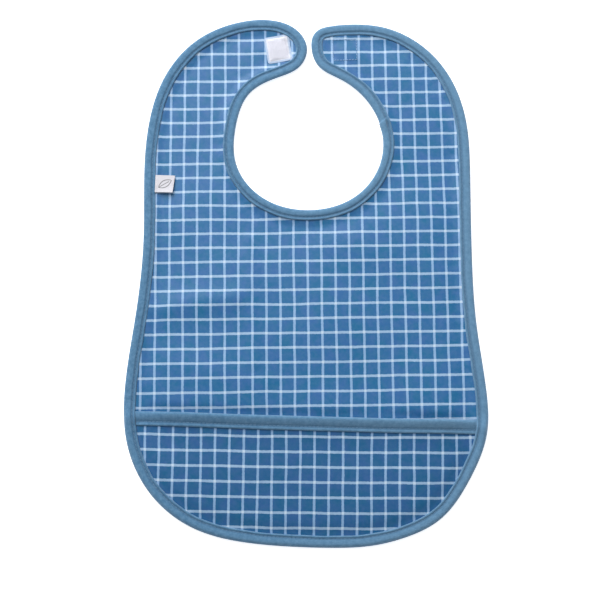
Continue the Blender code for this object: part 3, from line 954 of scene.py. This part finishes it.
def make_pile(name, patch, pile, finish):
    """Hooks or loops standing on a patch."""
    rng = np.random.default_rng(17)
    pitch, scatter, side = pile.pitch, pile.scatter, patch.side
    field = patch.size / 2 - PATCH_SEAM_INSET - PILE_MARGIN
    across, up = (np.arange(-reach + pitch / 2, reach, pitch) for reach in field)
    x, y = (values.ravel() for values in np.meshgrid(across, up))
    spot = np.column_stack((x, y)) + rng.uniform(-scatter, scatter, (len(x), 2)) * pitch
    heading = patch.turn + rng.uniform(-math.pi, math.pi, len(x)) * scatter * 2
    heading += np.where(np.round(x / pitch).astype(int) % 2 == 0, 0.0, math.pi)
    ahead = np.column_stack((np.cos(heading), np.sin(heading), np.zeros(len(x))))
    sideways = np.column_stack((-np.sin(heading), np.cos(heading), np.zeros(len(x))))
    world = turned(spot, patch.middle, patch.turn)
    sunk = patch_height(spot, patch.size, PATCH_THICKNESS) - 0.1 * MM
    base = np.column_stack((world, cloth_level(world, side) + side * sunk))
    tall = pile.height * rng.uniform(0.85, 1.1, len(x))[:, None]
    lines = [base + ahead * (forward * pile.height) + np.array((0, 0, float(side))) * (rise * tall)
             for forward, rise in pile.shape]
    item = tubes(name, np.stack(lines, axis=1), sideways * side, [pile.radius] * len(lines), 5)
    bend(item)
    dress(item, finish, "hook_and_loop")
    return item


def make_patches(woven, bristle, hook_thread, loop_thread):
    """Both patches with what stands on them, and the stitches round them on both sides."""
    base = make_patch("hook_patch_tape", HOOK, PATCH_THICKNESS, woven, "hook_patch")
    hooks = make_pile("hook_patch_hooks", HOOK, HOOKS, bristle)
    tuple(HOOK.size)
    base = make_patch("loop_patch_tape", LOOP, PATCH_THICKNESS / 2, woven, "loop_patch")
    loops = make_pile("loop_patch_loops", LOOP, LOOPS, bristle)
    tuple(LOOP.size)
    over_hooks, over_loops = PATCH_THICKNESS * 0.4, PATCH_THICKNESS * 0.2
    for kind, patch, needle_lift, bobbin_lift, thread in (
            ("hook", HOOK, over_hooks, 0.0, hook_thread),
            ("loop", LOOP, 0.0, over_loops, loop_thread)):
        for seam, side, lift in (("needle", 1, needle_lift), ("bobbin", -1, bobbin_lift)):
            name = f"{seam}_thread_{kind}"
            square_stitches(name, patch, side, lift, thread, f"{name}_patch")


def make_label(finish):
    """Woven label folded in two: its fold is free and lifts, its ends are in the tape."""
    length = LABEL_FREE_X - LABEL_SEAM_X
    shares = np.linspace(0, 1, 18)
    profile = [(share, 1.0) for share in shares]
    profile += [(1 + 0.018 * math.sin(turn), math.cos(turn)) for turn in (0.5, 1.2, 1.9, 2.6)]
    profile += [(share, -1.0) for share in shares[::-1]]
    profile += [(share, -0.35) for share in shares[:-1]] + [(0.995, 0.0)]
    profile += [(share, 0.35) for share in shares[-2::-1]]
    share, level = np.array(profile).T
    across = np.linspace(0.5, -0.5, LABEL_ROWS)[:, None]
    rise = LABEL_LIFT * share ** 1.6 * (1 - 0.55 * (across + 0.5))
    rise = rise + 0.35 * MM * np.sin(math.pi * share)
    rise += 0.7 * MM * smoothstep(-0.1 - 1.6 * across) * smoothstep((share - 0.3) / 0.3)
    x = share * length * (1 - 0.06 * (0.5 - across))
    flat = np.dstack((x, np.broadcast_to(across * LABEL_WIDTH, x.shape))).reshape(-1, 2)
    place = turned(flat, np.array((LABEL_SEAM_X, LABEL_MIDDLE_Y)), LABEL_TURN)
    seat = front_height(place).reshape(x.shape) + LABEL_LEAF * 1.6
    base = np.maximum(seat, seat[:, :1] - 0.1 * MM)
    rings = np.dstack((place.reshape(*x.shape, 2), base + (rise + level * LABEL_LEAF)))
    normals = ring_normals(rings, closed=False)
    item = swept("side_label_tape", rings, normals, np.linspace(0, LABEL_WIDTH, LABEL_ROWS))
    paint_label_place(item, profile)
    bend(item)
    dress(item, finish, "label_tape", "side_label")


def paint_label_place(item, profile):
    """Gives the label's top leaf its own places: share of its length and of its width.

    The other leaf lies outside them, so that the mark is on top only.
    """
    layer = item.data.uv_layers["cloth"].data
    for loop in item.data.loops:
        row, point = divmod(loop.vertex_index, len(profile))
        share, level = profile[point]
        across = 1 - row / (LABEL_ROWS - 1)
        layer[loop.index].uv = (share, across if level > 0.9 else across + 2)


# ---- materials

class Shader:
    """A material's nodes, made one at a time."""

    def __init__(self, name, **settings):
        self.material = bpy.data.materials.new(name)
        self.material.use_nodes = True
        self.tree = self.material.node_tree
        self.surface = self.tree.nodes["Principled BSDF"]
        for socket, value in settings.items():
            self.surface.inputs[socket.replace("_", " ")].default_value = value

    def put(self, socket, value):
        """Links another node to a socket, or sets its value."""
        if isinstance(value, bpy.types.NodeSocket):
            self.tree.links.new(value, socket)
        else:
            socket.default_value = value

    def node(self, kind, inputs=(), **options):
        """A new node with its inputs and options."""
        made = self.tree.nodes.new(f"ShaderNode{kind}")
        for option, value in options.items():
            setattr(made, option, value)
        for key, value in dict(inputs).items():
            self.put(made.inputs[key], value)
        return made

    def cloth_place(self):
        """Place in the cloth's own plane."""
        return self.node("UVMap", uv_map="cloth").outputs[0]

    def object_place(self):
        """Place in the piece's own space."""
        return self.node("TexCoord").outputs["Object"]

    def mapped(self, place, **settings):
        return self.node("Mapping", {"Vector": place, **settings}).outputs[0]

    def axes(self, place):
        return self.node("SeparateXYZ", {0: place}).outputs

    def math(self, operation, *values):
        return self.node("Math", dict(enumerate(values)), operation=operation).outputs[0]

    def times(self, first, second):
        return self.math("MULTIPLY", first, second)

    def plus(self, first, second):
        return self.math("ADD", first, second)

    def size(self, value):
        return self.math("ABSOLUTE", value)

    def waves(self, value, per_turn):
        """Sine waves along a value, with this angle for each unit of it."""
        return self.math("SINE", self.times(value, per_turn))

    def ramp(self, value, low, high, to_low=0.0, to_high=1.0):
        """Smooth step from one value to another."""
        return self.node("MapRange", {0: value, 1: low, 2: high, 3: to_low, 4: to_high},
                         interpolation_type="SMOOTHSTEP").outputs[0]

    def mix(self, share, first, second, blend="MIX"):
        return self.node("Mix", {0: share, 6: first, 7: second}, data_type="RGBA",
                         blend_type=blend).outputs[2]

    def flecked(self, color, pattern, share, other):
        """The colour with a share of another one where the pattern is high."""
        return self.mix(self.times(pattern, share), color, other)

    def noise(self, place, scale, detail=2.0, rough=0.5):
        return self.node("TexNoise", {"Vector": place, "Scale": scale, "Detail": detail,
                                      "Roughness": rough}).outputs[0]

    def mottled(self, place, scale, detail, rough, low, high, dark, light):
        """Two colours in soft blotches."""
        return self.mix(self.ramp(self.noise(place, scale, detail, rough), low, high), dark, light)

    def bump(self, height, strength, distance):
        made = self.node("Bump", {"Height": height, "Strength": strength, "Distance": distance})
        self.put(self.surface.inputs["Normal"], made.outputs[0])

    def color(self, value):
        self.put(self.surface.inputs["Base Color"], value)


def linear(red, green, blue):
    """Scene colour of an 8-bit display colour."""
    def channel(value):
        value /= 255
        return value / 12.92 if value <= 0.04045 else ((value + 0.055) / 1.055) ** 2.4
    return (channel(red), channel(green), channel(blue), 1.0)


def paler(color, painted_shade):
    """White print's colour where painted shade dims the cells: the print dims a third as much."""
    return tuple(channel * (2 + dim) / 3 for channel, dim in zip(color, painted_shade)) + (1.0,)


def printed_cotton(name, painted_shade):
    """Woven cotton printed with a white grid under a thin satin coating; a factor below 1 paints
    shade over it.
    """
    shade = Shader(name, Specular_IOR_Level=0.35, Coat_Weight=0.12, Coat_Roughness=0.35)
    place = shade.cloth_place()
    parts = shade.axes(place)
    warp = shade.math("MULTIPLY_ADD", shade.noise(place, 0.3, 1.0), 0.12, -0.06)
    masks = []
    for part in parts[:2]:
        value = shade.plus(part, warp)
        from_line = shade.math("SUBTRACT", shade.math("FRACT", shade.plus(value, 0.5)), 0.5)
        fray = shade.math("MULTIPLY_ADD", shade.noise(place, 7.0, 4.0), 0.06, -0.03)
        masks.append(shade.ramp(shade.plus(shade.size(from_line), fray), LINE_HALF - LINE_BLUR,
                                LINE_HALF + LINE_BLUR, 1.0, 0.0))
    upright, level = masks
    cell = shade.mottled(place, 0.8, 4.0, 0.65, 0.3, 0.7, linear(12, 110, 156),
                         linear(53, 109, 172))
    speck = shade.noise(place, 26.0)
    cell = shade.flecked(cell, speck, 0.45, linear(10, 76, 122))
    blot = shade.ramp(shade.noise(place, 3.1, 3.0), 0.35, 0.65)
    cell = shade.flecked(cell, blot, 0.14, linear(96, 132, 176))
    # Painted shade: the cells are multiplied darker by the given factor.
    cell = shade.mix(1.0, cell, (*painted_shade, 1.0), "MULTIPLY")
    ink = shade.ramp(shade.noise(place, 1.7, 3.0), 0.3, 0.7, 0.84, 1.0)
    color = shade.flecked(cell, upright, ink, paler(linear(142, 179, 219), painted_shade))
    color = shade.flecked(color, level, ink, paler(linear(157, 189, 220), painted_shade))
    shade.color(shade.flecked(color, upright, level, linear(192, 213, 233)))
    threads = shade.times(*[shade.waves(part, THREADS_PER_CELL) for part in parts[:2]])
    shade.bump(shade.plus(threads, shade.times(speck, 1.5)), 0.18, 0.00006)
    gloss = shade.ramp(shade.noise(place, 1.3, 3.0), 0.3, 0.7, 0.42, 0.55)
    shade.put(shade.surface.inputs["Roughness"], gloss)
    return shade.material


def tape_cloth():
    """Fine cotton jersey, dyed blue, with a faint melange, painted shade along its seam and painted
    light towards the bib's right side.
    """
    shade = Shader("binding_jersey", Roughness=0.85, Specular_IOR_Level=0.3, Sheen_Weight=0.4,
                   Sheen_Roughness=0.45)
    place = shade.cloth_place()
    scaled = shade.mapped(place, Scale=(1000.0, 1000.0, 1.0))
    along, from_seam = shade.axes(scaled)[:2]
    color = shade.mottled(scaled, 0.33, 4.0, 0.7, 0.28, 0.72, linear(73, 119, 156),
                          linear(103, 147, 182))
    # Painted light: the tape turns paler towards the bib's right side.
    painted_light_to_right = shade.ramp(shade.axes(shade.object_place())[0], -0.11, 0.11, 0.0, 0.3)
    color = shade.mix(painted_light_to_right, color, linear(130, 170, 200))
    heather = shade.noise(scaled, 2.2)
    color = shade.flecked(color, heather, 0.35, linear(58, 103, 140))
    # Painted shade: the tape is darkened beside its seam, where the groove is.
    painted_seam_shade = shade.ramp(shade.size(from_seam), 0.25, 2.0, 0.35, 0.0)
    shade.color(shade.mix(painted_seam_shade, color, linear(30, 66, 96)))
    crosswise = shade.mapped(place, Rotation=(0.0, 0.0, 0.35), Scale=(420.0, 60.0, 1.0))
    creases = shade.noise(crosswise, 1.0, 3.0, 0.6)
    wales = shade.times(shade.waves(along, 2 * math.pi / 0.55), 0.8)
    courses = shade.math("SINE", shade.math("MULTIPLY_ADD", from_seam, 2 * math.pi / 0.7, wales))
    fine = shade.plus(courses, shade.times(heather, 1.5))
    shade.bump(shade.math("MULTIPLY_ADD", creases, 3.0, fine), 0.4, 0.00012)
    return shade.material


def lining_cloth():
    """Brushed pale cotton."""
    shade = Shader("lining_jersey", Roughness=0.95, Sheen_Weight=0.4)
    place = shade.cloth_place()
    fine = shade.noise(place, 30.0, 3.0)
    color = shade.mix(shade.noise(place, 2.0, 4.0), linear(138, 154, 172), linear(154, 169, 186))
    shade.color(shade.flecked(color, fine, 0.25, linear(120, 137, 156)))
    shade.bump(fine, 0.6, 0.0003)
    return shade.material


def hook_tape():
    """White woven nylon under the hooks and loops, bluer at its edge."""
    shade = Shader("hook_and_loop_tape", Roughness=0.6, Specular_IOR_Level=0.3, Sheen_Weight=0.1)
    place = shade.cloth_place()
    parts = shade.axes(place)
    weave = shade.times(shade.waves(parts[0], 2 * math.pi / 0.5),
                        shade.waves(parts[1], 2 * math.pi / 0.42))
    color = shade.mix(shade.ramp(weave, -1.0, 1.0), linear(224, 226, 239), linear(249, 249, 255))
    color = shade.flecked(color, shade.noise(place, 0.4, 3.0), 0.35, linear(228, 229, 244))
    sides = [shade.math("SUBTRACT", float(reach / 2 / MM), shade.size(part))
             for reach, part in zip(HOOK.size, parts)]
    at_edge = shade.ramp(shade.math("MINIMUM", *sides), 0.9, 1.9, 0.8, 0.0)
    shade.color(shade.mix(at_edge, color, linear(168, 194, 224)))
    shade.bump(weave, 0.5, 0.0001)
    return shade.material


def label_cloth():
    """White woven tape with a plain leaf woven in grey: two bowed sides and a rib."""
    shade = Shader("label_satin", Roughness=0.55, Sheen_Weight=0.2)
    place = shade.cloth_place()
    parts = shade.axes(place)
    size = ((LABEL_FREE_X - LABEL_SEAM_X) / MM, LABEL_WIDTH / MM)
    along, across = (shade.math("MULTIPLY_ADD", part, length, -middle)
                     for part, length, middle in zip(parts, size, LEAF_MIDDLE))
    c, s = math.cos(LEAF_TILT), math.sin(LEAF_TILT)
    x = shade.plus(shade.times(along, c), shade.times(across, s))
    y = shade.plus(shade.times(across, c), shade.times(along, -s))
    bow = shade.math("MULTIPLY_ADD", shade.times(x, x), -LEAF_BOW, LEAF_HALF_WIDTH)
    edge = shade.size(shade.math("SUBTRACT", shade.size(y), bow))
    outline = shade.times(shade.ramp(edge, 0.2, 0.5, 1.0, 0.0),
                          shade.math("LESS_THAN", shade.size(x), LEAF_HALF_LENGTH))
    rib = shade.times(shade.ramp(shade.size(y), 0.15, 0.42, 1.0, 0.0),
                      shade.math("LESS_THAN", shade.size(shade.plus(x, 0.9)), 4.3))
    mark = shade.math("MAXIMUM", outline, rib)
    white = shade.mix(shade.noise(place, 60.0), linear(199, 198, 206), linear(217, 216, 223))
    shade.color(shade.flecked(white, mark, 0.85, linear(88, 90, 94)))
    shade.bump(shade.times(shade.waves(along, 15.0), shade.waves(across, 19.0)), 0.4, 0.00006)
    return shade.material


def speckled(name, scale, dark, light, **settings):
    """A material of one colour that varies a little."""
    shade = Shader(name, **settings)
    shade.color(shade.mix(shade.noise(shade.object_place(), scale), dark, light))
    return shade.material


def sewing_thread(name, dark, light):
    """Spun thread."""
    return speckled(name, 900.0, linear(*dark), linear(*light), Roughness=0.6, Sheen_Weight=0.2)


# ---- stage

def make_camera():
    """Camera of the photo: a little in front of the bib, looking down."""
    data = bpy.data.cameras.new("camera")
    data.lens = 72
    data.sensor_width = 36
    data.clip_start = 0.01
    camera = placed("camera", data)
    camera.rotation_euler = (VIEW_TILT, 0, 0)
    back = Vector((0, -math.sin(VIEW_TILT), math.cos(VIEW_TILT)))
    camera.location = VIEW_TARGET + back * VIEW_DISTANCE
    bpy.context.scene.camera = camera


def make_floor():
    """White paper to the horizon."""
    points = np.array(((-1, -1, 0), (1, -1, 0), (1, 1, 0), (-1, 1, 0))) * FLOOR_HALF
    floor = new_mesh("floor", points, [(0, 1, 2, 3)])
    paper = speckled("floor_paper", 12.0, (0.9, 0.9, 0.9, 1), (0.93, 0.93, 0.93, 1),
                     Roughness=0.9, Specular_IOR_Level=0.2, Emission_Color=(1, 1, 1, 1),
                     Emission_Strength=0.7)
    floor.data.materials.append(paper)


def make_room():
    """White room that looks brighter than it lights, and two large windows."""
    world = bpy.data.worlds.new("studio")
    world.use_nodes = True
    tree = world.node_tree
    background = tree.nodes["Background"]
    background.inputs["Color"].default_value = (1.0, 1.0, 1.0, 1.0)
    seen = tree.nodes.new("ShaderNodeLightPath").outputs["Is Camera Ray"]
    strength = tree.nodes.new("ShaderNodeMath")
    strength.operation = "MULTIPLY_ADD"
    tree.links.new(seen, strength.inputs[0])
    strength.inputs[1].default_value = 1.0 - ROOM_LIGHT
    strength.inputs[2].default_value = ROOM_LIGHT
    tree.links.new(strength.outputs[0], background.inputs["Strength"])
    bpy.context.scene.world = world
    for name, place, width, height, power in WINDOWS:
        data = bpy.data.lights.new(name, "AREA")
        data.shape = "RECTANGLE"
        data.size = width
        data.size_y = height
        data.energy = power
        light = placed(name, data)
        light.location = place
        light.rotation_mode = "QUATERNION"
        light.rotation_quaternion = (-Vector(place)).to_track_quat("-Z", "Y")


def main():
    """Builds the camera, the room and the bib's visible pieces."""
    make_camera()
    bpy.context.scene.view_settings.view_transform = "Standard"
    make_floor()
    make_room()
    cotton = printed_cotton("printed_coated_cotton", (1.0, 1.0, 1.0))
    # The pocket's copy of the cloth is darkened: painted shade for its slope away from the light.
    shaded_pocket_cotton = printed_cotton("pocket_coated_cotton_painted_shade", (0.75, 0.79, 0.83))
    tape = tape_cloth()
    thread = sewing_thread("sewing_thread", (70, 112, 146), (96, 138, 172))
    hook_thread = sewing_thread("white_thread", (188, 204, 228), (214, 224, 240))
    loop_thread = sewing_thread("pale_blue_thread", (118, 156, 200), (146, 180, 216))
    bristle = speckled("nylon_bristle", 700.0, linear(212, 214, 226), linear(232, 233, 243),
                       Roughness=0.45, Coat_Weight=0.1)
    make_cloth("front_panel", FRONT_SPACING, front_height, COTTON, main_print, cotton,
               "printed_coated_cotton")
    make_cloth("lining", LINING_SPACING,
               lambda plane: front_height(plane) - COTTON - LINING_GAP, LINING,
               lambda plane: plane * 100, lining_cloth(), "lining_cotton")
    make_binding(Binding(), tape, thread)
    make_pocket(shaded_pocket_cotton, tape, thread)
    make_patches(hook_tape(), bristle, hook_thread, loop_thread)
    make_label(label_cloth())


main()
